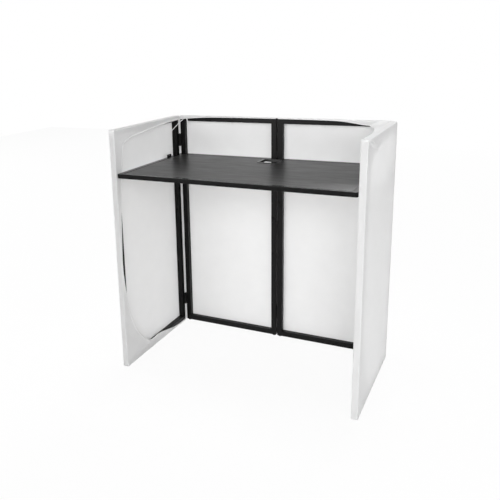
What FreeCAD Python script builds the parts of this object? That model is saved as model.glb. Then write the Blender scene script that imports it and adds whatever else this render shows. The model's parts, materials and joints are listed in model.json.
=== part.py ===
"""Folding DJ booth: four hinged tube panels in stretch scrim around a lift-off table.

Millimetres, +Z up, origin on the floor under the middle of the booth. +X is the right hand
of the person behind the booth and +Y points to the audience.
"""
import FreeCAD
import Part
import math
import os

Vector = FreeCAD.Vector

# Panels
tube = 25.0
tube_wall = 1.5
tube_corner = 2.0
frame_top = 1100.0
foot_height = 5.0
foot_radius = 9.0
foot_chamfer = 1.0
front_width = 508.0
side_depth = 567.0

# Hinges
hinge_gap = 7.0
pin_offset = 3.0
pin_radius = 1.5
pin_head_radius = 2.4
pin_head_height = 1.2
knuckle_radius = 3.0
leaf_thickness = 2.5
leaf_width = 20.0
hinge_height = 62.0
hinge_inset = 120.0
turning_clearance = 0.4
knuckle_play = 0.2
bore_clearance = 0.1
hinge_screw_pitch = 40.0

# Flat-head screws
screw_radius = 2.0
screw_head_radius = 3.6
screw_head_depth = 1.6
screw_length = 10.0

# Scrim and its elastic hem
scrim_thickness = 1.0
scrim_clearance = 0.3
under_wrap = 22.0
hem_width = 6.0
hem_thickness = 1.0
lip_at_centre = 1.0
lip_at_middle = 3.0
lip_at_corner = 12.0
side_lip_far = 23.0
side_lip_near = 38.0
near_lip_top = 36.0
near_lip_foot = 2.0
near_lip_foot_height = 300.0
top_corner_run = 140.0
top_corner_drop = 145.0
top_corner_bulge = 24.0
foot_corner_run = 229.0
foot_corner_height = 50.0
foot_corner_bulge = 38.0
web_on_front = 76.0
web_on_side = 373.0
elastic_radius = 1.2
elastic_on_front = 18.0
elastic_front_drop = 18.0
elastic_post_drop = 40.0
elastic_end_drop = 60.0

# Table
table_drop = 187.0
table_thickness = 18.0
table_side_gap = 4.0
table_rear_gap = 4.0
table_overhang = 0.5
table_front_corner = 8.0
table_rear_corner = 15.0
laminate = 1.0
panel_thickness = 8.0
batten_width = 40.0
edge_wall = 3.0
edge_leg = 22.0
edge_rise = 0.8
edge_round = 2.5
edge_low_round = 1.5
edge_inner_corner = 4.0
sheet_margin = 2.0
port_width = 92.0
port_depth = 100.0
port_centre = 92.0
port_bezel = 8.0
port_wall = 2.0
port_rise = 3.0
port_round = 1.0
port_corner = 4.0
port_outer_corner = 8.0

# Table brackets
bracket_thickness = 3.0
bracket_inset = 2.0
bracket_reach = 30.0
flange_height = 50.0
bracket_screw_pitch = 26.0
rear_arm = 103.0
near_tongue = 25.0
near_lip_room = 4.0
tab_length = 38.0
tab_thickness = 2.5
tab_rise = 11.0
tab_round = 4.0
tab_hole_radius = 3.0

# Places that follow from the sizes above
wrap = scrim_clearance + scrim_thickness
front_end_x = hinge_gap / 2 + front_width
corner_pin_x = front_end_x + hinge_gap / 2
side_inner_x = corner_pin_x + pin_offset
side_end_drop = pin_offset + hinge_gap / 2
ridge_inner = hinge_gap / 2 + bore_clearance
ridge_outer = ridge_inner + scrim_thickness
rear_extent = tube + pin_offset + ridge_outer
near_extent = side_end_drop + side_depth + wrap
front_inner_y = (near_extent - rear_extent) / 2
side_end_y = front_inner_y - side_end_drop
table_top = frame_top - table_drop
table_bottom = table_top - table_thickness
hinge_levels = (foot_height + hinge_inset, frame_top - hinge_inset)
scrim_low = foot_height - wrap
scrim_high = frame_top + wrap

front_place = FreeCAD.Placement(Vector(hinge_gap / 2, front_inner_y, 0), FreeCAD.Rotation())
side_place = FreeCAD.Placement(
    Vector(side_inner_x, side_end_y, 0), FreeCAD.Rotation(Vector(0, 0, 1), -90))


# Panels are drawn flat: u along the panel from its hinge end, v from its inner to its outer face, z up.
def block(u, v, z):
    return Part.makeBox(u[1] - u[0], v[1] - v[0], z[1] - z[0], Vector(u[0], v[0], z[0]))


def rod_u(radius, u, v, z):
    return Part.makeCylinder(radius, u[1] - u[0], Vector(u[0], v, z), Vector(1, 0, 0))


def rod_z(radius, u, v, z):
    return Part.makeCylinder(radius, z[1] - z[0], Vector(u, v, z[0]))


def plate(edges, v):
    """Solid between two v planes over an outline whose edges lie in the plane v = 0."""
    face = Part.Face(Part.Wire(edges))
    face.translate(Vector(0, v[0], 0))
    return face.extrude(Vector(0, v[1] - v[0], 0))


def line(start, end):
    return Part.LineSegment(Vector(start[0], 0, start[1]), Vector(end[0], 0, end[1])).toShape()


def arc(start, middle, end):
    points = [Vector(p[0], 0, p[1]) for p in (start, middle, end)]
    return Part.Arc(*points).toShape()


def outline(points):
    return [line(a, b) for a, b in zip(points, points[1:] + points[:1])]


def bulged(start, end, bulge):
    """Middle point of an arc from start to end that stands off the chord to its left."""
    run = (end[0] - start[0], end[1] - start[1])
    length = math.hypot(*run)
    return ((start[0] + end[0]) / 2 - run[1] / length * bulge,
            (start[1] + end[1]) / 2 + run[0] / length * bulge)


def flipped_u(shape, width):
    return shape.mirror(Vector(width / 2, 0, 0), Vector(1, 0, 0))


def flipped_v(shape):
    return shape.mirror(Vector(0, tube / 2, 0), Vector(0, 1, 0))


# Screws, leaves and pins, drawn at the hinge end of a panel with the pin on its inner side.
def screw(u, z):
    """Flat-head screw driven along -u with its head flush at u."""
    head = Part.makeCone(screw_head_radius, screw_radius, screw_head_depth,
                         Vector(u, tube / 2, z), Vector(-1, 0, 0))
    shank = rod_u(screw_radius, (u - screw_length, u - screw_head_depth), tube / 2, z)
    return head.fuse(shank).removeSplitter()


def screw_hole(u, z):
    head = Part.makeCone(screw_head_radius + bore_clearance, screw_radius + bore_clearance,
                         screw_head_depth, Vector(u, tube / 2, z), Vector(-1, 0, 0))
    shank = rod_u(screw_radius + bore_clearance, (u - screw_length, u), tube / 2, z)
    return head.fuse(shank)


def at_hinge_end(shape):
    """Turns a screw or its hole from -u to +u, so that it enters the hinge end of the panel."""
    return shape.mirror(Vector(0, 0, 0), Vector(1, 0, 0))


def hinge_screw_levels():
    half = hinge_screw_pitch / 2
    return [level + step for level in hinge_levels for step in (-half, half)]


def knuckle_spans(level):
    low = level - hinge_height / 2
    third = hinge_height / 3
    middle = (low + third + knuckle_play, low + 2 * third - knuckle_play)
    return [(low, low + third), middle, (low + 2 * third, low + hinge_height)]


def hinge_leaf(level, outer_knuckles):
    pin_u = -hinge_gap / 2
    spans = knuckle_spans(level)
    own = [spans[0], spans[2]] if outer_knuckles else [spans[1]]
    other = [spans[1]] if outer_knuckles else [spans[0], spans[2]]
    height = (level - hinge_height / 2, level + hinge_height / 2)
    leaf = block((-leaf_thickness, 0), (-pin_offset, leaf_width), height)
    for low, high in other:
        room = (low - turning_clearance, high + turning_clearance)
        leaf = leaf.cut(rod_z(knuckle_radius + turning_clearance, pin_u, -pin_offset, room))
    for low, high in own:
        leaf = leaf.fuse(rod_z(knuckle_radius, pin_u, -pin_offset, (low, high)))
    bore = (height[0] - 1, height[1] + 1)
    leaf = leaf.cut(rod_z(pin_radius + bore_clearance, pin_u, -pin_offset, bore))
    for z in hinge_screw_levels():
        leaf = leaf.cut(at_hinge_end(screw_hole(leaf_thickness, z)))
    return leaf.removeSplitter()


def hinge_leaves(outer_knuckles):
    return Part.makeCompound([hinge_leaf(level, outer_knuckles) for level in hinge_levels])


def hinge_pin(level):
    pin_u = -hinge_gap / 2
    low = level - hinge_height / 2
    high = level + hinge_height / 2
    pin = rod_z(pin_radius, pin_u, -pin_offset, (low, high + pin_head_height))
    head = rod_z(pin_head_radius, pin_u, -pin_offset, (high, high + pin_head_height))
    return pin.fuse(head).removeSplitter()


def hinge_pins():
    return Part.makeCompound([hinge_pin(level) for level in hinge_levels])


# Tube frame
def tube_member(outer, inner):
    """Closed square tube with rounded long edges, between mitred ends."""
    member = plate(outline(outer), (0, tube))
    member = member.makeFillet(tube_corner, [e for e in member.Edges if e.Length > 2 * tube])
    return member.cut(plate(outline(inner), (tube_wall, tube - tube_wall)))


def post_at_hinge_end():
    def corners(skin):
        near = skin
        far = tube - skin
        return [(near, foot_height + near), (far, foot_height + far),
                (far, frame_top - far), (near, frame_top - near)]
    return tube_member(corners(0), corners(tube_wall))


def bottom_rail(width):
    def corners(skin):
        near = skin
        far = tube - skin
        return [(near, foot_height + near), (width - near, foot_height + near),
                (width - far, foot_height + far), (far, foot_height + far)]
    return tube_member(corners(0), corners(tube_wall))


def top_rail(width):
    middle = (foot_height + frame_top) / 2
    return bottom_rail(width).mirror(Vector(0, 0, middle), Vector(0, 0, 1))


def foot(u):
    glide = rod_z(foot_radius, u, tube / 2, (0, foot_height))
    rim = [e for e in glide.Edges if e.BoundBox.ZMax < foot_chamfer and e.isClosed()]
    return glide.makeChamfer(foot_chamfer, rim)


def foot_places(width):
    return (tube / 2, width - tube / 2)


def feet(width):
    return Part.makeCompound([foot(u) for u in foot_places(width)])


def foot_holes(width):
    room = foot_radius + scrim_clearance
    return [rod_z(room, u, tube / 2, (0, foot_height)) for u in foot_places(width)]


# Scrim: a skin outside the frame, turned over to the inside up to its hem
def scrim_skin(width, end_room):
    """Four-sided sleeve round the frame, closed at its far end where end_room is given."""
    outer = block((0, width + end_room * wrap), (-wrap, tube + wrap), (scrim_low, scrim_high))
    far = width + (scrim_clearance if end_room else scrim_thickness)
    inner = block((-scrim_thickness, far), (-scrim_clearance, tube + scrim_clearance),
                  (foot_height - scrim_clearance, frame_top + scrim_clearance))
    return outer.cut(inner)


def front_lip(rise):
    """Lower edge of the narrow strip that is turned over the top rail of a front panel."""
    return arc((0, frame_top - lip_at_centre + rise),
               (front_width / 2, frame_top - lip_at_middle + rise),
               (front_width, frame_top - lip_at_corner + rise))


def front_scrim():
    skin = scrim_skin(front_width, 0)
    below = [front_lip(0),
             line((front_width, frame_top - lip_at_corner), (front_width, 0)),
             line((front_width, 0), (0, 0)),
             line((0, 0), (0, frame_top - lip_at_centre))]
    under_edge = tube - under_wrap
    skin = skin.cut(plate(below, (-wrap - scrim_thickness, under_edge)))
    for hole in foot_holes(front_width):
        skin = skin.cut(hole)
    return skin.removeSplitter()


def front_hem():
    band = [front_lip(0),
            line((front_width, frame_top - lip_at_corner), (front_width, frame_top - lip_at_corner + hem_width)),
            front_lip(hem_width),
            line((0, frame_top - lip_at_centre + hem_width), (0, frame_top - lip_at_centre))]
    top = plate(Part.__sortEdges__(band), (-wrap - hem_thickness, -wrap))
    top = top.common(block((0, front_width), (-wrap - hem_thickness, -wrap), (0, scrim_high)))
    under_edge = tube - under_wrap
    bottom = block((0, front_width), (under_edge, under_edge + hem_width),
                   (scrim_low - hem_thickness, scrim_low))
    for hole in foot_holes(front_width):
        bottom = bottom.cut(hole)
    return Part.makeCompound([top] + bottom.Solids)


def side_opening(grow, v):
    """Space that the turned-over scrim of a side panel leaves open, wider by grow all round."""
    start = -scrim_thickness
    far_top = (start, frame_top - side_lip_far + grow)
    near_top = (side_depth - top_corner_run, frame_top - side_lip_near + grow)
    post_top = (side_depth - near_lip_top + grow, frame_top - top_corner_drop)
    post_foot = (side_depth - near_lip_foot + grow, near_lip_foot_height)
    rail_near = (side_depth - foot_corner_run, foot_corner_height - grow)
    rail_far = (start, foot_height - grow)
    edges = [line(far_top, near_top),
             arc(near_top, bulged(near_top, post_top, top_corner_bulge), post_top),
             line(post_top, post_foot),
             arc(post_foot, bulged(post_foot, rail_near, foot_corner_bulge), rail_near),
             line(rail_near, rail_far),
             line(rail_far, far_top)]
    return plate(edges, v)


def side_scrim():
    skin = scrim_skin(side_depth, 1)
    skin = skin.cut(side_opening(0, (-wrap - scrim_thickness, 0)))
    for hole in foot_holes(side_depth):
        skin = skin.cut(hole)
    return skin.removeSplitter()


def side_hem():
    v = (-wrap - hem_thickness, -wrap)
    band = side_opening(hem_width, v).cut(side_opening(0, v))
    return band.common(block((0, side_depth + wrap), v, (scrim_low, scrim_high)))


# Table brackets on the posts of a side panel, under the table
def bracket_screw_levels():
    middle = table_bottom - bracket_thickness - flange_height / 2
    return (middle - bracket_screw_pitch / 2, middle + bracket_screw_pitch / 2)


def bracket(tongue):
    """Angle on the far side of the hinge-end post: a flange on the post and a shelf inside the panel,
    which goes on as a tongue under the table over a stretch of u."""
    across = (bracket_inset, tube - bracket_inset)
    shelf_low = table_bottom - bracket_thickness
    flange = block((tube, tube + bracket_thickness), across, (shelf_low - flange_height, shelf_low))
    shelf = block((tube, tongue[1]), across, (shelf_low, table_bottom))
    under_table = block(tongue, (-bracket_reach, across[0]), (shelf_low, table_bottom))
    angle = flange.fuse([shelf, under_table])
    for z in bracket_screw_levels():
        angle = angle.cut(screw_hole(tube + bracket_thickness, z))
    return angle.removeSplitter()


def rear_bracket():
    end = tube + rear_arm
    rise = table_top + tab_rise
    v = (-scrim_clearance - tab_thickness, -scrim_clearance)
    tab = block((end - tab_length, end), v, (table_bottom, rise))
    tips = [e for e in tab.Edges if e.BoundBox.ZMin > rise - 1 and e.BoundBox.XLength < 1]
    tab = tab.makeFillet(tab_round, tips)
    hole = Part.makeCylinder(tab_hole_radius, tube, Vector(end - tab_length / 2, -tube / 2, table_top + tab_rise / 2),
                             Vector(0, 1, 0))
    return bracket((tube, end)).fuse(tab.cut(hole)).removeSplitter()


def near_bracket():
    """Bracket on the near post, whose tongue passes beside the turned-over scrim."""
    start = near_lip_top + near_lip_room
    return flipped_u(bracket((start, start + near_tongue)), side_depth)


# Screws of one panel, and the holes that they need in its posts
def hinge_end_screws(make):
    return [at_hinge_end(make(leaf_thickness, z)) for z in hinge_screw_levels()]


def bracket_screws(make):
    return [make(tube + bracket_thickness, z) for z in bracket_screw_levels()]


def drilled(post, holes):
    for hole in holes:
        post = post.cut(hole)
    return post.removeSplitter()


def front_panel():
    near = drilled(post_at_hinge_end(), hinge_end_screws(screw_hole))
    screws = hinge_end_screws(screw)
    screws += [flipped_u(s, front_width) for s in screws]
    return {"inner_post": near, "outer_post": flipped_u(near, front_width),
            "top_rail": top_rail(front_width), "bottom_rail": bottom_rail(front_width),
            "feet": feet(front_width), "screws": Part.makeCompound(screws),
            "scrim": front_scrim(), "hem": front_hem()}


def side_panel():
    on_bracket = bracket_screws(screw_hole)
    rear = drilled(post_at_hinge_end(), hinge_end_screws(screw_hole) + on_bracket)
    near = flipped_u(drilled(post_at_hinge_end(), on_bracket), side_depth)
    screws = hinge_end_screws(screw) + bracket_screws(screw)
    screws += [flipped_u(s, side_depth) for s in bracket_screws(screw)]
    return {"rear_post": rear, "near_post": near,
            "top_rail": top_rail(side_depth), "bottom_rail": bottom_rail(side_depth),
            "feet": feet(side_depth), "screws": Part.makeCompound(screws),
            "scrim": side_scrim(), "hem": side_hem(),
            "rear_bracket": rear_bracket(), "near_bracket": near_bracket()}


# Cloth and elastic across the hinge lines, drawn on the right-hand half of the booth
def upright(points, z):
    """Solid over an outline in plan, between two heights."""
    corners = [Vector(x, front_inner_y + y, z[0]) for x, y in points]
    face = Part.Face(Part.makePolygon(corners + corners[:1]))
    return face.extrude(Vector(0, 0, z[1] - z[0]))


def corner_gusset(on_front, on_side):
    """Scrim round the outside of a corner and over its top, with a web across the inside of the corner."""
    skin_in = tube + scrim_clearance
    skin_out = tube + wrap
    side_in = side_inner_x + skin_in
    side_out = side_inner_x + skin_out
    strip = upright([(front_end_x, skin_in), (front_end_x, skin_out),
                     (side_out, -side_end_drop), (side_in, -side_end_drop)], (scrim_low, scrim_high))
    lip_x = side_inner_x - wrap
    web = upright([(front_end_x, skin_in), (side_in, -side_end_drop), (lip_x, -side_end_drop),
                   (lip_x, -side_end_drop - on_side), (front_end_x - on_front, -wrap),
                   (front_end_x, -wrap)], (frame_top + scrim_clearance, scrim_high))
    return strip.fuse(web).removeSplitter()


def centre_gusset():
    """Scrim over the gap between the front panels, with a ridge over the hinge barrels."""
    pin_y = tube + pin_offset
    low = tube + wrap

    def half_ring(radius):
        ends = (-radius, pin_y), (radius, pin_y)
        bow = Part.Arc(Vector(ends[0][0], ends[0][1], 0), Vector(0, pin_y + radius, 0),
                       Vector(ends[1][0], ends[1][1], 0)).toShape()
        rest = Part.makePolygon([Vector(radius, pin_y, 0), Vector(radius, low, 0),
                                 Vector(-radius, low, 0), Vector(-radius, pin_y, 0)])
        return Part.Face(Part.Wire([bow] + rest.Edges))

    ridge = half_ring(ridge_outer).cut(half_ring(ridge_inner))
    ridge.translate(Vector(0, front_inner_y, scrim_low))
    return ridge.extrude(Vector(0, 0, scrim_high - scrim_low)).Solids[0]


def strand(points):
    """Round elastic through the points."""
    knots = [Vector(x, front_inner_y + y, z) for x, y, z in points]
    elastic = Part.makeSphere(elastic_radius, knots[0])
    for a, b in zip(knots, knots[1:]):
        elastic = elastic.fuse(Part.makeCylinder(elastic_radius, (b - a).Length, a, b - a))
        elastic = elastic.fuse(Part.makeSphere(elastic_radius, b))
    return elastic.removeSplitter()


def left_corner_elastic():
    """Strand from the top rail of the front round the inner edge of the side panel's post (mirrored)."""
    off = elastic_radius + scrim_clearance
    off_lip = wrap + hem_thickness + off
    post_edge_y = -side_end_drop - tube - off
    return strand([(front_end_x - elastic_on_front, -off_lip, frame_top - elastic_front_drop),
                   (side_inner_x - off, post_edge_y, frame_top - elastic_post_drop),
                   (side_inner_x + tube - off, post_edge_y, frame_top - elastic_end_drop)])


def right_corner_elastic():
    """Hem along the free edge of the corner web."""
    off = elastic_radius + scrim_clearance
    below = frame_top + scrim_clearance - off
    return strand([(front_end_x - web_on_front, -wrap - hem_thickness - off, below),
                   (side_inner_x - wrap - hem_thickness - off, -side_end_drop - web_on_side, below)])


# Table, drawn in place
def rounded_plate(inset, corners, z):
    """Slab of the table's outline drawn in by inset, with its near and rear corner radii."""
    near_corner, rear_corner = corners
    x = side_inner_x - table_side_gap - inset
    rear = front_inner_y - table_rear_gap - inset
    near = side_end_y - side_depth - table_overhang + inset
    slab = Part.makeBox(2 * x, rear - near, z[1] - z[0], Vector(-x, near, z[0]))
    edges = [e for e in slab.Edges if e.BoundBox.ZLength > (z[1] - z[0]) / 2]
    rear_edges = [e for e in edges if e.BoundBox.YMin > (rear + near) / 2]
    slab = slab.makeFillet(rear_corner, rear_edges)
    edges = [e for e in slab.Edges if e.BoundBox.ZLength > (z[1] - z[0]) / 2 and e.BoundBox.YMax < near + 1]
    return slab.makeFillet(near_corner, edges)


def port_block(grow, corner, z):
    width = port_width - 2 * port_bezel + 2 * grow
    depth = port_depth - 2 * port_bezel + 2 * grow
    centre = front_inner_y - port_centre
    hole = Part.makeBox(width, depth, z[1] - z[0], Vector(-width / 2, centre - depth / 2, z[0]))
    edges = [e for e in hole.Edges if e.BoundBox.ZLength > (z[1] - z[0]) / 2]
    return hole.makeFillet(corner, edges)


def port_through(grow, corner):
    return port_block(grow, corner, (table_bottom - port_rise, table_top + 2 * port_rise))


def rounded_rims(shape, radius, level):
    rims = [e for e in shape.Edges if abs(e.BoundBox.ZMin - level) + abs(e.BoundBox.ZMax - level) < 1e-4]
    return shape.makeFillet(radius, rims)


def table():
    """Panel on two side battens, with a sheet on it and an angle trim whose upper leg borders the sheet."""
    sheet_low = table_top - laminate
    panel_low = sheet_low - panel_thickness
    edge_top = table_top + edge_rise
    sleeve_room = port_wall + bore_clearance
    outer_corners = (table_front_corner, table_rear_corner)
    core_corners = (table_front_corner - edge_wall, table_rear_corner - edge_wall)
    inner_corners = (edge_inner_corner, edge_inner_corner)
    core = rounded_plate(edge_wall, core_corners, (table_bottom, sheet_low))
    sheet = rounded_plate(edge_leg + sheet_margin, inner_corners, (sheet_low, table_top))
    band = rounded_plate(0, outer_corners, (table_bottom, edge_top))
    band = rounded_rims(band, edge_round, edge_top)
    band = rounded_rims(band, edge_low_round, table_bottom)
    band = band.cut(core)
    band = band.cut(rounded_plate(edge_leg, inner_corners, (sheet_low, edge_top)))
    open_x = side_inner_x - table_side_gap - edge_wall - batten_width
    depth = core.BoundBox
    core = core.cut(block((-open_x, open_x), (depth.YMin, depth.YMax), (table_bottom, panel_low)))
    core = core.cut(port_through(sleeve_room, port_corner + sleeve_room))
    sheet = sheet.cut(port_through(port_bezel + bore_clearance, port_outer_corner + bore_clearance))
    opening = port_through(0, port_corner)
    collar = port_block(port_bezel, port_outer_corner, (sheet_low, table_top + port_rise)).cut(opening)
    collar = rounded_rims(collar, port_round, table_top + port_rise)
    sleeve = port_block(port_wall, port_corner + port_wall, (panel_low, sheet_low)).cut(opening)
    port = collar.fuse(sleeve).removeSplitter()
    return {"table_board": core, "table_sheet": sheet, "table_edge_band": band, "cable_port": port}


def mirrored(shape):
    return shape.mirror(Vector(0, 0, 0), Vector(1, 0, 0))


def placed(shape, place):
    moved = shape.copy()
    moved.Placement = place.multiply(moved.Placement)
    return moved


def both_hands(left_name, right_name, shape):
    return {left_name: mirrored(shape), right_name: shape}


def nodes():
    parts = {}
    for panel, place, names in ((front_panel(), front_place, ("front_left", "front_right")),
                                (side_panel(), side_place, ("left_side", "right_side"))):
        for piece, shape in panel.items():
            left, right = (f"{name}_{piece}" for name in names)
            parts.update(both_hands(left, right, placed(shape, place)))

    front_corner_leaves = placed(flipped_u(hinge_leaves(True), front_width), front_place)
    side_corner_leaves = placed(hinge_leaves(False), side_place)
    corner_pins = placed(flipped_u(hinge_pins(), front_width), front_place)
    for end, leaves in (("front", front_corner_leaves), ("side", side_corner_leaves)):
        parts.update(both_hands(f"left_corner_{end}_leaves", f"right_corner_{end}_leaves", leaves))
    parts.update(both_hands("left_corner_pins", "right_corner_pins", corner_pins))

    parts["centre_left_leaves"] = mirrored(placed(flipped_v(hinge_leaves(True)), front_place))
    parts["centre_right_leaves"] = placed(flipped_v(hinge_leaves(False)), front_place)
    parts["centre_pins"] = placed(flipped_v(hinge_pins()), front_place)

    parts["left_corner_gusset"] = mirrored(corner_gusset(scrim_thickness, scrim_thickness))
    parts["right_corner_gusset"] = corner_gusset(web_on_front, web_on_side)
    parts["centre_gusset"] = centre_gusset()
    parts["left_corner_elastic"] = mirrored(left_corner_elastic())
    parts["right_corner_elastic"] = right_corner_elastic()
    parts.update(table())
    return parts


def main():
    os.makedirs("parts", exist_ok=True)
    for name, shape in nodes().items():
        if not shape.isValid():
            raise ValueError(f"{name} is not a valid shape")
        shape.exportStep(f"parts/{name}.step")
        box = shape.BoundBox
        print(f"{name}: {len(shape.Solids)} solid(s), {shape.Volume / 1000:.1f} cm3, "
              f"x {box.XMin:.1f}..{box.XMax:.1f}, y {box.YMin:.1f}..{box.YMax:.1f}, "
              f"z {box.ZMin:.1f}..{box.ZMax:.1f}")


main()
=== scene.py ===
"""Looks of the folding booth: its stretch scrim, elastic hems and the finishes of its frame and table."""
import json
import math

import bmesh
import bpy
import numpy as np
from mathutils import Matrix, Vector


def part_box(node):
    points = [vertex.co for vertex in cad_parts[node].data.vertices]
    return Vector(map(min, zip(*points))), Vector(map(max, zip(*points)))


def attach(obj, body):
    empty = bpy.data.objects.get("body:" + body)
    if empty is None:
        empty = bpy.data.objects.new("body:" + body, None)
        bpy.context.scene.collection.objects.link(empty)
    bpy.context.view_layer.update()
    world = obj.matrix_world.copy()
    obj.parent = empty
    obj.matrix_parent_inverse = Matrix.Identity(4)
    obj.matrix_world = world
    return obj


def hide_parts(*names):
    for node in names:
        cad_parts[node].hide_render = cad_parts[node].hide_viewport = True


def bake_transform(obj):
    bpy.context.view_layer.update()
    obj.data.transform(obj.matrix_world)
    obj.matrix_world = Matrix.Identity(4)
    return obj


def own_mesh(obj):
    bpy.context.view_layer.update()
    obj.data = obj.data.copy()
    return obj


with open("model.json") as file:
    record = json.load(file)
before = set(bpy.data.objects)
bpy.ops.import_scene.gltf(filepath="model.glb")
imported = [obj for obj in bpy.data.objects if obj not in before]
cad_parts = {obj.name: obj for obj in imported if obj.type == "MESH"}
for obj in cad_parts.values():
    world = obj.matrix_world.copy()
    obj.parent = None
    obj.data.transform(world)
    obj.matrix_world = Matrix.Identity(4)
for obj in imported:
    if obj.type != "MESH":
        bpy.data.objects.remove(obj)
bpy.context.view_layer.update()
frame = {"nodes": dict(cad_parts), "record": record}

# Places of the tube frame, in metres
side_low, side_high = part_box("right_side_top_rail")
front_low, front_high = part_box("front_right_top_rail")
tube = side_high.z - side_low.z
frame_top = side_high.z
frame_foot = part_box("right_side_bottom_rail")[0].z
side_x = side_low.x
side_end_y = side_high.y
side_depth = side_high.y - side_low.y
front_x = front_low.x
front_end_x = front_high.x
front_width = front_high.x - front_low.x
front_y = front_low.y
corner_drop = front_y - side_end_y
hinge_levels = (0.125, 0.98)
hinge_reach = 0.07

# Scrim: its thickness, how it lies on the tubes, and the width of its lip on the flat cloth
cloth = 0.0007
off_tube = 0.0005
below_rail = 0.0035
rim_round = 0.0025
rim_corner = 0.005
least_lip = 0.0045
flat_lip = 0.03
under_wrap = 0.022
scrim_low = frame_foot - below_rail
scrim_high = frame_top + off_tube
v_out = tube + off_tube
v_in = -off_tube

# Share of light that the scrim lets through, flat and in the lip, and the run of cloth where it changes
sheet_through = 0.36
lip_through = 0.20
lip_fade = 1.5 * rim_round

# Fineness of the cloth's nets and lines, and the angle from which an edge stays crisp
crisp_angle = math.radians(50)
net_step = 0.010
closer = 3
turn_steps = 5
line_steps = 12
side_lip_steps = 9
front_lip_steps = 4
hem_points = 500
side_band_points = 900
front_band_points = 240
corner_points = 17
centre_points = 15
web_points = 90
web_rows = 14

# Hem lines: on the front, distance from the middle and depth below the top, and on the sides, distance from
# the free end and height
front_hem_way = {
    "left": ((0.0, 0.0025), (0.22, 0.0030), (0.36, 0.0055), (0.44, 0.0105), (0.508, 0.0170)),
    "right": ((0.0, 0.0030), (0.18, 0.0030), (0.29, 0.0045), (0.35, 0.0120), (0.42, 0.0235), (0.508, 0.0245))}
side_hem_way = (
    (0.567, 1.0805), (0.508, 1.0800), (0.430, 1.0770), (0.352, 1.0715), (0.280, 1.0650), (0.210, 1.0585),
    (0.146, 1.0540), (0.104, 1.0470), (0.073, 1.0330), (0.059, 1.0050), (0.053, 0.9600), (0.041, 0.8900),
    (0.029, 0.8080), (0.020, 0.7300), (0.013, 0.6250), (0.007, 0.5400), (0.006, 0.4800), (0.013, 0.4100),
    (0.027, 0.3250), (0.053, 0.2320), (0.085, 0.1570), (0.135, 0.0960), (0.188, 0.0530), (0.222, 0.0430),
    (0.262, 0.0480), (0.310, 0.0430), (0.380, 0.0270), (0.465, 0.0080), (0.567, 0.0060))
hem_clear = 0.0004

# Elastic: width and height of each band, and the small gathers along it
side_hem = (0.006, 0.0019)
front_hem = (0.0035, 0.0016)
web_hem = (0.004, 0.0018)
strand_hem = (0.0046, 0.0022)
tail_hem = (0.0050, 0.0019)
band_sides = 12
band_flatness = 0.7
band_sink = 0.0003
gather_pitch = 0.0085
gather_share = 0.09
gather_drift = (1.7, 21)

# Slow waves of the cloth between the tubes: share, turn along the panel, turn up it, and start of each
wave_height = 0.0006
side_waves = ((1.0, 5.1, 2.3, 0.0), (0.6, -3.0, 9.0, 1.1))
front_waves = ((1.0, 4.3, 2.9, 0.6), (0.6, -2.2, 8.0, 0.0))

# Folds where the cloth is gathered at the top of a side panel's free end: angle below the top edge, height
# and length. The left panel's are lower, so that the panels fold flat.
pucker_reach = 0.20
puckers = ((0.28, 0.0066, 0.140), (0.75, 0.0030, 0.045), (1.10, 0.0036, 0.050), (1.42, 0.0014, 0.090))
fold_share = {"left": 0.15, "right": 1.0}
fold_width = 0.0036
fold_spread = 0.025
fold_start = 0.022
fold_turn = 1.5

# The gathered corner itself puffs out in ripples: even share, rippled share, turn per metre and start
puff_share = {"left": 0.45, "right": 1.0}
puff_height = 0.0052
puff_reach = 0.017
puff_edge = 0.012
puff_ripple = (0.6, 0.4, 520, 0.9)

# Rise of the cloth over the hinge barrels in the middle of the front. The panels' covers stay below the pins
# there, so that the front folds flat, and the cloth between them begins a little in from the panels' ends.
ridge = 0.0013
ridge_at_hinge = 0.0004
ridge_run = 0.045
centre_seam = 0.0015
barrel_cover = (0.0014, 0.0030)

# Cloth round the corners: ease of its bend, the part of it that turns under the foot, and its lip, as
# distances in and down
corner_ease = 0.003
corner_passes = 4
corner_under = 0.4
corner_lip = ((0.0, 0.0), (0.0010, 0.0008), (0.0014, 0.0030), (0.0014, 0.0075))

# Web across the right corner: how far it runs along the rails, how it lies on them, and its sag
web_on_front = 0.0835
web_on_side = 0.373
web_on_top = 0.004
web_clear = 0.0012
web_sag = 0.003

# Tolerances
nearly_zero = 1e-9
same_place = 1e-6
no_length = 1e-7


# Panels are drawn flat: u along the panel from its hinge end, v from its inner to its outer face, z up.
def on_front(points, hand):
    u, v, z = np.moveaxis(points, -1, 0)
    return np.stack([hand * (front_x + u), front_y + v, z], axis=-1)


def on_side(points, hand):
    u, v, z = np.moveaxis(points, -1, 0)
    return np.stack([hand * (side_x + v), side_end_y - u, z], axis=-1)


def as_drawn(points, hand):
    """Plan of the right-hand corner, x from the middle and y from the inner face of the front."""
    x, y, z = np.moveaxis(points, -1, 0)
    return np.stack([hand * x, front_y + y, z], axis=-1)


def at_depth(flat, v):
    """Points given as (u, z) on a panel, at depth v."""
    return np.column_stack([flat[:, 0], np.full(len(flat), v), flat[:, 1]])


def at_height(plan, z):
    """Points given in plan, at height z."""
    return np.column_stack([plan, np.full(len(plan), z)])


def always(direction, count):
    """The same direction at each of count points."""
    return np.tile(np.array(direction, float), (count, 1))


# Lines
def length_along(line):
    """Length so far at each point of the line."""
    return np.concatenate([[0], np.cumsum(np.linalg.norm(np.diff(line, axis=0), axis=1))])


def headings(line):
    """Direction of the line at each point."""
    run = np.gradient(line, axis=0)
    return run / np.linalg.norm(run, axis=1)[:, None]


def spaced(points, count):
    """The line through the points, at equal steps."""
    points = np.asarray(points, float)
    along = length_along(points)
    at = np.linspace(0, along[-1], count)
    return np.column_stack([np.interp(at, along, column) for column in points.T])


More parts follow.
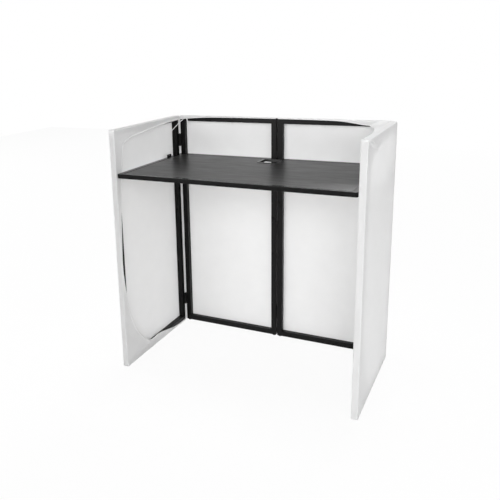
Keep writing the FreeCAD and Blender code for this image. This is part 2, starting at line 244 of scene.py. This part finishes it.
def eased(line, passes):
    """The line with its kinks pulled soft, its ends held."""
    line = np.array(line, float)
    for _ in range(passes):
        line[1:-1] = (line[:-2] + 2 * line[1:-1] + line[2:]) / 4
    return line


def smooth_line(points):
    """Points along the smooth curve that has these control points."""
    curve = bpy.data.curves.new("line", "CURVE")
    curve.dimensions = "3D"
    curve.resolution_u = line_steps
    spline = curve.splines.new("NURBS")
    spline.points.add(len(points) - 1)
    for knot, place in zip(spline.points, points):
        knot.co = (*place, 1)
    spline.order_u = 3
    spline.use_endpoint_u = True
    holder = bpy.data.objects.new("line", curve)
    mesh = bpy.data.meshes.new_from_object(holder)
    line = np.array([v.co for v in mesh.vertices], float)
    bpy.data.meshes.remove(mesh)
    bpy.data.objects.remove(holder)
    bpy.data.curves.remove(curve)
    return line


def steps_between(a, b):
    return max(2, int(round(abs(b - a) / net_step)) + 1)


def graded(a, b, reach):
    """Steps from a to b, closer over the last reach."""
    turn = b - math.copysign(reach, b - a)
    wide = np.linspace(a, turn, steps_between(a, turn))
    close = np.linspace(turn, b, closer * steps_between(turn, b))
    return np.concatenate([wide, close[1:]])


wall_levels = np.linspace(scrim_low + rim_corner, scrim_high - rim_corner,
                          steps_between(scrim_low, scrim_high))


# Nets of cloth: rows of points, each with its place on the flat cloth
def rim_section(inner=True):
    """Way of the cloth round the tube: distance out from the rim, v, and length so far."""
    turn = np.linspace(0, math.pi / 2, turn_steps)
    past = rim_round * np.sin(turn) - rim_round
    back = rim_round * np.cos(turn) - rim_round
    across = np.linspace(v_out - rim_round, v_in + rim_round, turn_steps)[1:-1]
    over = [(-rim_corner, v_out), *zip(past, v_out + back), *((0.0, v) for v in across)]
    if inner:
        over += zip(back, v_in - past)
    section = np.array(over)
    return np.column_stack([section, length_along(section)])


def rim_net(rim, out, section, hem=None, lip_steps=0):
    """Net of the cloth over a rim: rim points and outward directions in (u, z), then in to the hem line."""
    base = rim - out * rim_corner
    rows = []
    marks = []
    for past, v, length in section:
        rows.append(at_depth(rim + out * past, v))
        marks.append(base + out * length)
    if hem is not None:
        last = rim + out * section[-1, 0]
        for share in np.linspace(0, 1, lip_steps + 1)[1:]:
            rows.append(at_depth(last + (hem - last) * share, v_in))
            marks.append(base + out * (section[-1, 2] + share * flat_lip))
    return np.stack(rows, axis=1), np.stack(marks, axis=1)


def flat_net(us, zs, v):
    u, z = np.meshgrid(us, zs, indexing="ij")
    return np.stack([u, np.full(u.shape, v), z], axis=-1), np.stack([u, z], axis=-1)


def settle(piece):
    """Applies the piece's modifiers and shades it smooth, with its cut edges crisp."""
    bpy.ops.object.select_all(action="DESELECT")
    piece.select_set(True)
    bpy.context.view_layer.objects.active = piece
    for modifier in list(piece.modifiers):
        bpy.ops.object.modifier_apply(modifier=modifier.name)
    bpy.ops.object.shade_smooth_by_angle(angle=crisp_angle)
    piece.select_set(False)


def placed(name, work):
    """The finished mesh as a piece in the scene."""
    bmesh.ops.recalc_face_normals(work, faces=work.faces)
    mesh = bpy.data.meshes.new(name)
    work.to_mesh(mesh)
    work.free()
    piece = bpy.data.objects.new(name, mesh)
    bpy.context.scene.collection.objects.link(piece)
    return piece


def sewn(name, nets, place, hand, shaping=None):
    """One cloth from nets of points, joined where their edges meet and given its thickness outwards."""
    work = bmesh.new()
    marks = work.loops.layers.uv.new("cloth")
    for points, flat in nets:
        rows, columns = points.shape[:2]
        knots = [[work.verts.new(points[i, j]) for j in range(columns)] for i in range(rows)]
        for i in range(rows - 1):
            for j in range(columns - 1):
                corners = ((i, j), (i + 1, j), (i + 1, j + 1), (i, j + 1))
                face = work.faces.new([knots[a][b] for a, b in corners])
                for loop, (a, b) in zip(face.loops, corners):
                    loop[marks].uv = flat[a, b]
    bmesh.ops.remove_doubles(work, verts=work.verts, dist=same_place)
    bmesh.ops.dissolve_degenerate(work, edges=work.edges, dist=no_length)
    bmesh.ops.recalc_face_normals(work, faces=work.faces)
    points = np.array([v.co for v in work.verts])
    if shaping is not None:
        points = shaping(points)
    for vertex, co in zip(work.verts, place(points, hand)):
        vertex.co = co
    piece = placed(name, work)
    thicken = piece.modifiers.new("thickness", "SOLIDIFY")
    thicken.thickness = cloth
    thicken.offset = 1
    thicken.use_even_offset = False
    settle(piece)
    return piece


def bead(name, line, across, stand, size, place, hand):
    """Elastic hem: a rounded flat band along a line, laid towards across and raised towards stand."""
    width, height = size
    along = length_along(line)
    turn = np.linspace(0, 2 * math.pi, band_sides, endpoint=False)
    flat = np.sign(np.cos(turn)) * np.abs(np.cos(turn)) ** band_flatness
    drift = gather_drift[0] * np.sin(along * gather_drift[1])
    gather = 1 + gather_share * np.sin(along * 2 * math.pi / gather_pitch + drift)
    raised = height / 2 * (1 + np.sin(turn)[None, :] * gather[:, None]) - band_sink
    ring = line[:, None, :] + across[:, None, :] * (width / 2 * (1 + flat))[None, :, None]
    ring = ring + stand[:, None, :] * raised[:, :, None]
    work = bmesh.new()
    marks = work.loops.layers.uv.new("cloth")
    knots = [[work.verts.new(p) for p in row] for row in place(ring, hand)]
    for i in range(len(line) - 1):
        for j in range(band_sides):
            corners = ((i, j), (i + 1, j), (i + 1, j + 1), (i, j + 1))
            face = work.faces.new([knots[a][b % band_sides] for a, b in corners])
            for loop, (a, b) in zip(face.loops, corners):
                loop[marks].uv = (along[a], b * width * 2 / band_sides)
    work.faces.new(knots[0])
    work.faces.new(knots[-1])
    piece = placed(name, work)
    settle(piece)
    return piece


def slack(u, z, width, waves):
    """How far the stretched cloth stands out of its plane between the tubes."""
    along = np.clip(u / width, 0, 1)
    up = np.clip((z - scrim_low) / (scrim_high - scrim_low), 0, 1)
    wave = sum(share * np.sin(a * along + b * up + start) for share, a, b, start in waves)
    return np.sin(math.pi * along) * np.sin(math.pi * up) * wave * wave_height


def outer_share(v):
    """1 on a panel's outer face, 0 from the middle of its tubes inwards."""
    return np.clip((v - tube / 2) / (tube / 2), 0, 1)


# Side panels
def side_hem_line():
    """The hem's inner edge, from the hinge end along the top, down the free end and back along the foot."""
    way = [(side_depth - from_end, 0.0, height) for from_end, height in side_hem_way]
    u, z = spaced(smooth_line(way)[:, [0, 2]], hem_points).T
    edge = side_depth + off_tube - least_lip
    foot = scrim_low + side_hem[0] + hem_clear
    return np.column_stack([np.minimum(u, edge), np.clip(z, foot, None)])


def side_rim():
    """Rim of a side panel, from the hinge end along the top, down the free end and back along the foot."""
    end = side_depth + off_tube
    turn_u = end - rim_corner
    us = graded(0, turn_u, pucker_reach)
    zs = graded(scrim_low + rim_corner, scrim_high - rim_corner, pucker_reach)[::-1]
    turn = [(math.cos(a), math.sin(a)) for a in np.linspace(math.pi / 2, 0, turn_steps)[1:-1]]
    way = [((u, scrim_high), (0, 1)) for u in us]
    way += [((turn_u + rim_corner * c, scrim_high - rim_corner + rim_corner * s), (c, s)) for c, s in turn]
    way += [((end, z), (1, 0)) for z in zs]
    way += [((turn_u + rim_corner * s, scrim_low + rim_corner - rim_corner * c), (s, -c)) for c, s in turn]
    way += [((u, scrim_low), (0, -1)) for u in us[::-1]]
    return np.array([p for p, _ in way]), np.array([d for _, d in way]), us, zs


def along_hem(rim, hem):
    """Hem point for each rim point, with the corners of both brought together."""
    rim_at = length_along(rim)
    hem_at = length_along(hem)
    high = np.argmin(np.linalg.norm(rim - (side_depth, scrim_high), axis=1))
    low = np.argmin(np.linalg.norm(rim - (side_depth, scrim_low), axis=1))
    turn_high = np.argmax(hem[:, 0] + hem[:, 1])
    turn_low = np.argmax(hem[:, 0] - hem[:, 1])
    at = np.interp(rim_at, rim_at[[0, high, low, -1]], hem_at[[0, turn_high, turn_low, -1]])
    return np.column_stack([np.interp(at, hem_at, column) for column in hem.T])


def gathers(reach, angle):
    """Height of the folds that spread from a gathered corner."""
    fold = 0
    for lie, height, length in puckers:
        beside = reach * np.sin(np.clip(angle - lie, -fold_turn, fold_turn))
        width = fold_width + fold_spread * reach
        fold = fold + height * np.exp(-(beside / width) ** 2 - (reach / length) ** 2)
    return fold * np.clip(reach / fold_start, 0, 1)


def side_shaping(side):
    """Soft lie of the stretched cloth: slow waves between the tubes, puckers at the top of the free end."""
    even, rippled, ripple_turn, ripple_start = puff_ripple

    def shape(points):
        u, v, z = points.T.copy()
        from_end = side_depth + off_tube - u
        from_top = scrim_high - z
        reach = np.hypot(from_end, from_top)
        angle = np.arctan2(np.maximum(from_top, 0), np.maximum(from_end, same_place))
        fold = fold_share[side] * gathers(reach, angle)
        v = v + outer_share(v) * (slack(u, z, side_depth, side_waves) + fold)
        ripple = even + rippled * np.sin(v * ripple_turn - ripple_start)
        puff = puff_share[side] * puff_height * np.exp(-(reach / puff_reach) ** 2) * ripple
        u = u + puff * np.clip(1 - from_end / puff_edge, 0, 1)
        z = z + puff * np.clip(1 - from_top / puff_edge, 0, 1)
        return np.column_stack([u, v, z])

    return shape


def side_cover(side, hand):
    rim, out, us, zs = side_rim()
    hem = side_hem_line()
    nets = [rim_net(rim, out, rim_section(), along_hem(rim, hem), side_lip_steps),
            flat_net(us, zs, v_out)]
    cover = sewn(f"{side}_side_cover", nets, on_side, hand, side_shaping(side))
    band = spaced(hem, side_band_points)
    run = headings(band)
    across = at_depth(np.column_stack([-run[:, 1], run[:, 0]]), 0.0)
    inward = always((0, -1, 0), len(band))
    elastic = bead(f"{side}_side_elastic", at_depth(band, v_in), across, inward, side_hem, on_side, hand)
    return cover, elastic


# Front panels
def front_hem_line(us, side):
    """The hem's lower edge at these distances from the middle."""
    line = smooth_line([(along, 0.0, depth) for along, depth in front_hem_way[side]])
    return np.column_stack([us, frame_top - np.interp(us, line[:, 0], line[:, 2])])


def over_hinges(z, low, high):
    """A height that is low between the hinges and low + high over them."""
    near = sum(np.exp(-((z - level) / hinge_reach) ** 4) for level in hinge_levels)
    return low + high * near


def centre_rise(u, z):
    """Rise of the front cloth towards the hinge barrels in the middle."""
    return over_hinges(z, ridge, ridge_at_hinge) * np.clip(1 - u / ridge_run, 0, 1) ** 2


def front_shaping(points):
    """Slow waves, and a slight rise towards the hinge barrels in the middle of the front."""
    u, v, z = points.T.copy()
    v = v + outer_share(v) * (slack(u, z, front_width, front_waves) + centre_rise(u, z))
    return np.column_stack([u, v, z])


def front_cover(side, hand):
    us = graded(front_width, centre_seam, ridge_run)[::-1]
    up = always((0, 1), len(us))
    top = np.column_stack([us, np.full(len(us), scrim_high)])
    foot = np.column_stack([us, np.full(len(us), scrim_low)])
    under = rim_section(inner=False)
    under = under[under[:, 1] > tube - under_wrap]
    nets = [flat_net(us, wall_levels, v_out),
            rim_net(top, up, rim_section(), front_hem_line(us, side), front_lip_steps),
            rim_net(foot, -up, under)]
    cover = sewn(f"front_{side}_cover", nets, on_front, hand, front_shaping)
    band = front_hem_line(np.linspace(0, front_width, front_band_points), side)
    up = always((0, 0, 1), len(band))
    inward = always((0, -1, 0), len(band))
    elastic = bead(f"front_{side}_elastic", at_depth(band, v_in), up, inward, front_hem, on_front, hand)
    return cover, elastic


# Cloth across the hinge lines
def corner_gusset(side, hand):
    """Cloth round the outside of a corner and over its top, from the front's end to a side panel's end."""
    start = np.array([front_end_x, v_out])
    end = np.array([side_x + v_out, -corner_drop])
    bend = np.array([start, start + (corner_ease, 0), end + (0, corner_ease), end])
    plan = eased(spaced(bend, corner_points), corner_passes)
    plan[0], plan[-1] = start, end
    inner = np.linspace((front_end_x, v_in), (side_x + v_in, -corner_drop), corner_points)
    wall = np.stack([at_height(plan, z) for z in wall_levels], axis=1)
    wall_marks = np.stack(np.meshgrid(length_along(plan), wall_levels, indexing="ij"), axis=-1)
    rows = []
    foot_rows = []
    for past, v, _ in rim_section():
        if v > v_in + rim_round - nearly_zero:
            depth = (v_out - v) / (v_out - v_in)
            flat = plan + (inner - plan) * depth
            rows.append(at_height(flat, scrim_high + past))
            if depth < corner_under:
                foot_rows.append(at_height(flat, scrim_low - past))
    inward = np.array([-1.0, -1.0]) / math.sqrt(2)
    for in_by, low_by in corner_lip:
        rows.append(at_height(inner + inward * in_by, scrim_high - low_by))
    top = np.stack(rows, axis=1)
    foot = np.stack(foot_rows, axis=1)
    nets = [(wall, wall_marks), (top, top[..., :2]), (foot, foot[..., :2])]
    piece = sewn(f"{side}_corner_cloth", nets, as_drawn, hand)
    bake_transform(piece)
    return piece


def centre_gusset():
    """Cloth over the gap between the front panels, raised over the hinge barrels."""
    reach = front_x + centre_seam
    xs = -reach * np.cos(np.linspace(0, math.pi, centre_points))
    hump = np.sqrt(np.clip(1 - (xs / reach) ** 2, 0, 1))

    def height(z):
        return centre_rise(centre_seam, z) + over_hinges(z, *barrel_cover) * hump

    wall = np.stack([at_height(np.column_stack([xs, v_out + height(z)]), z) for z in wall_levels], axis=1)
    rows = []
    for past, v, _ in rim_section()[:1 - turn_steps]:
        share = (v - v_in) / (v_out - v_in)
        top_v = v + height(scrim_high) * max(share * 2 - 1, 0)
        rows.append(at_height(np.column_stack([xs, top_v]), scrim_high + past))
    top = np.stack(rows, axis=1)
    nets = [(wall, wall[..., [0, 2]]), (top, top[..., :2])]
    piece = sewn("centre_cloth", nets, as_drawn, 1)
    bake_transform(piece)
    return piece


def corner_web():
    """Cloth across the inside of the right corner at the top, from rail to rail, with its elastic edge."""
    front_start = front_end_x - web_on_front
    side_finish = -corner_drop - web_on_side
    on_rail = side_x + web_on_top
    rim = spaced(smooth_line([(front_start, web_on_top, scrim_high),
                              (front_end_x - 0.01, web_on_top, scrim_high),
                              (on_rail, 0.0, scrim_high),
                              (on_rail, -corner_drop - 0.02, scrim_high),
                              (on_rail, side_finish, scrim_high)]), web_points)
    stand_off = v_in - front_hem[1] - web_clear
    hem_there = front_hem_line(np.array([front_start - front_x]), "right")[0, 1]
    edge = spaced(smooth_line([(front_start, stand_off, hem_there),
                               (front_start + 0.014, stand_off - 0.001, frame_top - 0.029),
                               (front_end_x - 0.0525, -0.060, frame_top - 0.026),
                               (front_end_x - 0.030, -0.171, frame_top - 0.0165),
                               (front_end_x - 0.010, -0.271, frame_top - 0.0070),
                               (side_x + stand_off, side_finish, frame_top - 0.0015)]), web_points)
    rows = []
    for share in np.linspace(0, 1, web_rows):
        row = rim + (edge - rim) * share
        row[:, 2] += cloth * (1 - share) - web_sag * math.sin(math.pi * share)
        rows.append(row)
    net = np.stack(rows, axis=1)
    web = sewn("right_corner_web", [(net, net[..., :2] + (0, frame_top / 2))], as_drawn, 1)
    stand = always((0, 0, 1), len(edge))
    across = np.cross(headings(edge), stand)
    across *= np.sign(np.sum(across * (rim - edge), axis=1))[:, None]
    elastic = bead("right_corner_web_elastic", edge, across, stand, web_hem, as_drawn, 1)
    for piece in (web, elastic):
        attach(piece, "front_right")
        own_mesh(piece)
    return web, elastic


def corner_elastic():
    """Free stretch of hem across the inside of the left corner, over both posts, and its tail."""
    line = smooth_line([(front_end_x - 0.020, -0.0032, frame_top - 0.0195),
                        (front_end_x - 0.006, -0.012, frame_top - 0.030),
                        (side_x - 0.0035, -0.034, frame_top - 0.0485),
                        (side_x + 0.012, -0.0355, frame_top - 0.063),
                        (side_x + tube - 0.0015, -0.034, frame_top - 0.0735)])
    up = always((0, 0, 1), len(line))
    inward = always((0, -1, 0), len(line))
    strand = bead("left_corner_strand", line, up, inward, strand_hem, as_drawn, -1)
    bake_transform(strand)
    on_lip = v_in - cloth
    line = smooth_line([(front_end_x - 0.0405, on_lip, frame_top - 0.0115),
                        (front_end_x - 0.0435, on_lip, frame_top - 0.018),
                        (front_end_x - 0.0455, on_lip, frame_top - 0.0275)])
    out = always((1, 0, 0), len(line))
    inward = always((0, -1, 0), len(line))
    tail = bead("left_corner_tail", line, out, inward, tail_hem, as_drawn, -1)
    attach(tail, "front_left")
    return strand, tail


cloths = []
elastics = []
for side, hand in (("left", -1), ("right", 1)):
    cover, elastic = side_cover(side, hand)
    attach(cover, f"{side}_side")
    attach(elastic, f"{side}_side")
    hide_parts(f"{side}_side_scrim")
    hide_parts(f"{side}_side_hem")
    cloths.append(cover)
    elastics.append(elastic)
    cover, elastic = front_cover(side, hand)
    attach(cover, f"front_{side}")
    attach(elastic, f"front_{side}")
    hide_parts(f"front_{side}_scrim")
    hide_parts(f"front_{side}_hem")
    cloths.append(cover)
    elastics.append(elastic)
left_corner = corner_gusset("left", -1)
right_corner = corner_gusset("right", 1)
centre = centre_gusset()
web, web_elastic = corner_web()
strand, tail = corner_elastic()
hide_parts("left_corner_gusset")
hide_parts("right_corner_gusset")
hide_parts("centre_gusset")
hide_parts("right_corner_elastic")
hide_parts("left_corner_elastic")
cloths += [left_corner, right_corner, centre, web]
elastics += [web_elastic, strand, tail]


# Finishes
def new_finish(name):
    material = bpy.data.materials.new(name)
    material.use_nodes = True
    tree = material.node_tree
    return material, tree, tree.nodes["Principled BSDF"]


def node(tree, kind, values=None, **settings):
    made = tree.nodes.new(kind)
    for key, value in settings.items():
        setattr(made, key, value)
    for key, value in (values or {}).items():
        made.inputs[key].default_value = value
    return made


def grey(value):
    return (value, value, value, 1)


def place_on(tree, scale=(1, 1, 1), uv=None):
    """Coordinates in metres times scale: the piece's own, or the cloth's along its threads."""
    mapping = node(tree, "ShaderNodeMapping", {"Scale": scale})
    if uv:
        source = node(tree, "ShaderNodeUVMap", uv_map=uv).outputs["UV"]
    else:
        source = node(tree, "ShaderNodeTexCoord").outputs["Object"]
    tree.links.new(source, mapping.inputs["Vector"])
    return mapping.outputs["Vector"]


def noise(tree, where, scale, detail=3.0, rough=0.55):
    made = node(tree, "ShaderNodeTexNoise", {"Scale": scale, "Detail": detail, "Roughness": rough})
    tree.links.new(where, made.inputs["Vector"])
    return made.outputs["Fac"]


def bands(tree, where, pitch, direction="X"):
    """Even ribs, one every pitch metres. At scale 1 the wave repeats every pi / 10."""
    made = node(tree, "ShaderNodeTexWave", {"Scale": math.pi / 10 / pitch, "Distortion": 0.0},
                bands_direction=direction, wave_profile="SIN")
    tree.links.new(where, made.inputs["Vector"])
    return made.outputs["Fac"]


def worked(tree, operation, a, b):
    made = node(tree, "ShaderNodeMath", operation=operation)
    for socket, value in zip(made.inputs, (a, b)):
        if isinstance(value, float):
            socket.default_value = value
        else:
            tree.links.new(value, socket)
    return made.outputs["Value"]


def weighted(tree, a, share_a, b, share_b):
    return worked(tree, "ADD", worked(tree, "MULTIPLY", a, share_a), worked(tree, "MULTIPLY", b, share_b))


def tones(tree, level, stops):
    """Colour that runs through the stops (position, colour) as the level rises."""
    ramp = node(tree, "ShaderNodeValToRGB")
    while len(ramp.color_ramp.elements) < len(stops):
        ramp.color_ramp.elements.new(0.5)
    for element, (position, colour) in zip(ramp.color_ramp.elements, stops):
        element.position = position
        element.color = colour
    tree.links.new(level, ramp.inputs["Fac"])
    return ramp.outputs["Color"]


def ranged(tree, level, low, high, across=(0.3, 0.7)):
    """Value that runs from low to high as the level runs across its range."""
    made = node(tree, "ShaderNodeMapRange",
                {"From Min": across[0], "From Max": across[1], "To Min": low, "To Max": high})
    tree.links.new(level, made.inputs["Value"])
    return made.outputs["Result"]


def bump(tree, shader, height, strength, depth):
    made = node(tree, "ShaderNodeBump", {"Strength": strength, "Distance": depth})
    tree.links.new(height, made.inputs["Height"])
    tree.links.new(made.outputs["Normal"], shader.inputs["Normal"])


def mixed(tree, share, plain, other, output):
    """Surface of the output: plain where the share is 0, other where it is 1."""
    mix = node(tree, "ShaderNodeMixShader")
    tree.links.new(share, mix.inputs["Fac"])
    tree.links.new(plain, mix.inputs[1])
    tree.links.new(other, mix.inputs[2])
    tree.links.new(mix.outputs["Shader"], tree.nodes[output].inputs["Surface"])


def coat(tree, shader, colour, roughness, specular):
    """Colour, roughness and gloss of a surface."""
    tree.links.new(colour, shader.inputs["Base Color"])
    tree.links.new(roughness, shader.inputs["Roughness"])
    shader.inputs["Specular IOR Level"].default_value = specular


def let_through(tree, where):
    """Share of light the scrim lets through: less in the lip, past the cloth's turn over the frame."""
    parts = node(tree, "ShaderNodeSeparateXYZ")
    tree.links.new(where, parts.inputs["Vector"])
    past_end = worked(tree, "SUBTRACT", parts.outputs["X"], side_depth + off_tube)
    past_top = worked(tree, "SUBTRACT", parts.outputs["Y"], scrim_high)
    past_foot = worked(tree, "SUBTRACT", scrim_low, parts.outputs["Y"])
    past = worked(tree, "MAXIMUM", worked(tree, "MAXIMUM", past_end, past_top), past_foot)
    lip = float(rim_section()[-1, 2]) - rim_corner
    return ranged(tree, past, sheet_through, lip_through, (lip - lip_fade, lip))


def scrim_finish():
    """White stretch knit: fine columns and rows of stitches, soft mottling, a little light let through."""
    material, tree, shader = new_finish("white_stretch_scrim")
    where = place_on(tree, uv="cloth")
    columns = bands(tree, where, 0.0014)
    rows = bands(tree, where, 0.0011, "Y")
    knit = worked(tree, "MULTIPLY", columns, rows)
    cloud = noise(tree, where, 14, detail=4)
    colour = tones(tree, weighted(tree, cloud, 0.7, knit, 0.3), [(0.25, grey(0.88)), (0.75, grey(0.93))])
    coat(tree, shader, colour, ranged(tree, noise(tree, where, 60), 0.82, 0.92), 0.25)
    shader.inputs["Sheen Weight"].default_value = 0.12
    shader.inputs["Sheen Roughness"].default_value = 0.5
    bump(tree, shader, knit, 0.12, 0.0003)
    through = node(tree, "ShaderNodeBsdfTranslucent", {"Color": grey(0.91)})
    mixed(tree, let_through(tree, where), shader.outputs["BSDF"], through.outputs["BSDF"], "Material Output")
    return material


def elastic_finish():
    """White overlocked elastic: close ribs of thread across the band."""
    material, tree, shader = new_finish("white_elastic")
    where = place_on(tree, uv="cloth")
    ribs = bands(tree, where, 0.0024)
    colour = tones(tree, ribs, [(0.0, grey(0.80)), (0.55, grey(0.90))])
    coat(tree, shader, colour, ranged(tree, noise(tree, where, 300), 0.7, 0.85), 0.3)
    shader.inputs["Sheen Weight"].default_value = 0.1
    bump(tree, shader, ribs, 0.45, 0.0004)
    return material


def paint_finish(name, dark, light, smooth, rough, grain=1400, depth=0.0002, specular=0.5):
    """Black coat with a fine grain: colour from dark to light, gloss from smooth to rough."""
    material, tree, shader = new_finish(name)
    where = place_on(tree)
    cloud = noise(tree, where, 22, detail=5)
    peel = noise(tree, where, grain, detail=2)
    colour = tones(tree, cloud, [(0.3, grey(dark)), (0.7, grey(light))])
    coat(tree, shader, colour, ranged(tree, cloud, smooth, rough), specular)
    bump(tree, shader, peel, 0.25, depth)
    return material


def laminate_finish():
    """Semi-gloss black sheet, with fine streaks along the table and longer cloudy ones."""
    material, tree, shader = new_finish("table_laminate")
    streak = noise(tree, place_on(tree, (2.2, 150, 1)), 1.0, detail=5, rough=0.65)
    hair = noise(tree, place_on(tree, (9, 900, 1)), 1.0, detail=3, rough=0.6)
    cloudy = noise(tree, place_on(tree, (7, 38, 1)), 1.0, detail=4, rough=0.6)
    grain = weighted(tree, streak, 0.6, hair, 0.4)
    mottle = weighted(tree, grain, 0.45, cloudy, 0.55)
    colour = tones(tree, grain, [(0.35, grey(0.007)), (0.65, grey(0.024))])
    coat(tree, shader, colour, ranged(tree, mottle, 0.26, 0.42), 0.22)
    bump(tree, shader, grain, 0.12, 0.0003)
    return material


def board_finish():
    """Raw pressed board, dark brown chips and fibres."""
    material, tree, shader = new_finish("pressed_board")
    chips = noise(tree, place_on(tree, (1, 2.6, 1.4)), 190, detail=4, rough=0.7)
    colour = tones(tree, chips, [(0.3, (0.055, 0.043, 0.032, 1)), (0.5, (0.115, 0.092, 0.07, 1)),
                                 (0.72, (0.19, 0.155, 0.12, 1))])
    coat(tree, shader, colour, ranged(tree, noise(tree, place_on(tree), 40), 0.75, 0.9), 0.2)
    bump(tree, shader, chips, 0.3, 0.0004)
    return material


finishes = {
    "scrim": scrim_finish(),
    "elastic": elastic_finish(),
    "frame_paint": paint_finish("black_powder_coat", 0.004, 0.007, 0.26, 0.36, specular=0.13),
    "hardware": paint_finish("black_steel", 0.006, 0.010, 0.30, 0.40, grain=2600, depth=0.0001, specular=0.2),
    "glide": paint_finish("black_rubber", 0.014, 0.022, 0.66, 0.8, grain=900, specular=0.35),
    "edge_band": paint_finish("satin_edge_trim", 0.003, 0.006, 0.17, 0.23, grain=1900, depth=0.00006,
                              specular=0.12),
    "port_plastic": paint_finish("moulded_black_plastic", 0.010, 0.016, 0.10, 0.15, grain=2200, depth=0.0001),
    "table_sheet": laminate_finish(),
    "board": board_finish(),
}


def dress(piece, slot):
    piece.data.materials.clear()
    piece.data.materials.append(finishes[slot])


for slot, pieces in (("scrim", cloths), ("elastic", elastics)):
    for piece in pieces:
        dress(piece, slot)
for part in frame["record"]["subparts"]:
    dress(frame["nodes"][part["node"]], part["material_slot"])

# Camera: its place in metres, its turns in degrees, and in a picture 500 wide its focal length and centre
camera_place = (1.00325, -2.49355, 1.43658)
yaw, pitch, roll = (math.radians(a) for a in (26.673, 14.516, -1.56))
picture = 500
focal_length = 628.289
centre_across, centre_down = 205, 208
sensor = 36
forward = Vector((-math.sin(yaw) * math.cos(pitch), math.cos(yaw) * math.cos(pitch), -math.sin(pitch)))
right = Vector((math.cos(yaw), math.sin(yaw), 0))
up = right.cross(forward)
across = math.cos(roll) * right + math.sin(roll) * up
above = -math.sin(roll) * right + math.cos(roll) * up
camera = bpy.data.objects.new("camera", bpy.data.cameras.new("camera"))
bpy.context.scene.collection.objects.link(camera)
camera.matrix_world = Matrix((*zip(across, above, -forward, camera_place), (0, 0, 0, 1)))
camera.data.sensor_width = sensor
camera.data.lens = focal_length / picture * sensor
camera.data.shift_x = (picture / 2 - centre_across) / picture
camera.data.shift_y = (centre_down - picture / 2) / picture
bpy.context.scene.camera = camera


# Floor, backdrop and light
def seen_as_backdrop(tree):
    """1 for the rays that show the white backdrop: to the camera, in gloss and through cloth."""
    path = node(tree, "ShaderNodeLightPath")
    seen = worked(tree, "MAXIMUM", path.outputs["Is Camera Ray"], path.outputs["Is Glossy Ray"])
    return worked(tree, "MAXIMUM", seen, path.outputs["Is Transmission Ray"])


def soft_lamp(name, place, aim, size, power):
    lamp = bpy.data.lights.new(name, "AREA")
    lamp.shape = "SQUARE"
    lamp.size = size
    lamp.energy = power
    holder = bpy.data.objects.new(name, lamp)
    holder.location = place
    holder.rotation_euler = (Vector(aim) - Vector(place)).to_track_quat("-Z", "Y").to_euler()
    bpy.context.scene.collection.objects.link(holder)


floor_size = 14
floor_white = 0.93
dome_strength = 0.06
bpy.ops.mesh.primitive_plane_add(size=floor_size)
floor = bpy.context.active_object
floor.name = "floor"
material, tree, shader = new_finish("floor_white")
shader.inputs["Base Color"].default_value = grey(0.9)
shader.inputs["Roughness"].default_value = 0.9
shader.inputs["Specular IOR Level"].default_value = 0.0
glow = node(tree, "ShaderNodeEmission", {"Color": grey(1.0), "Strength": 1.0})
mixed(tree, worked(tree, "MULTIPLY", seen_as_backdrop(tree), floor_white),
      shader.outputs["BSDF"], glow.outputs["Emission"], "Material Output")
floor.data.materials.append(material)

world = bpy.data.worlds.new("studio")
bpy.context.scene.world = world
world.use_nodes = True
tree = world.node_tree
dome = tree.nodes["Background"]
dome.inputs["Color"].default_value = grey(1.0)
dome.inputs["Strength"].default_value = dome_strength
backdrop = node(tree, "ShaderNodeBackground", {"Color": grey(1.0), "Strength": 1.0})
mixed(tree, seen_as_backdrop(tree),
      dome.outputs["Background"], backdrop.outputs["Background"], "World Output")

booth_middle = (0, 0, 0.6)
soft_lamp("front", (3.5, -8.8, 3.7), booth_middle, 4.0, 370)
soft_lamp("front_left", (-4.0, -9.0, 2.5), booth_middle, 4.0, 295)
soft_lamp("front_right", (8.0, -5.0, 3.0), booth_middle, 4.0, 205)
soft_lamp("left", (-9.0, 1.0, 3.0), booth_middle, 4.0, 390)
soft_lamp("right", (9.0, 1.0, 3.0), booth_middle, 4.0, 120)
soft_lamp("overhead", (0, 0.3, 8.0), (0, 0.3, 0.6), 4.0, 265)
soft_lamp("behind", (0, 13.0, 4.2), booth_middle, 5.0, 930)

bpy.context.scene.view_settings.view_transform = "Standard"
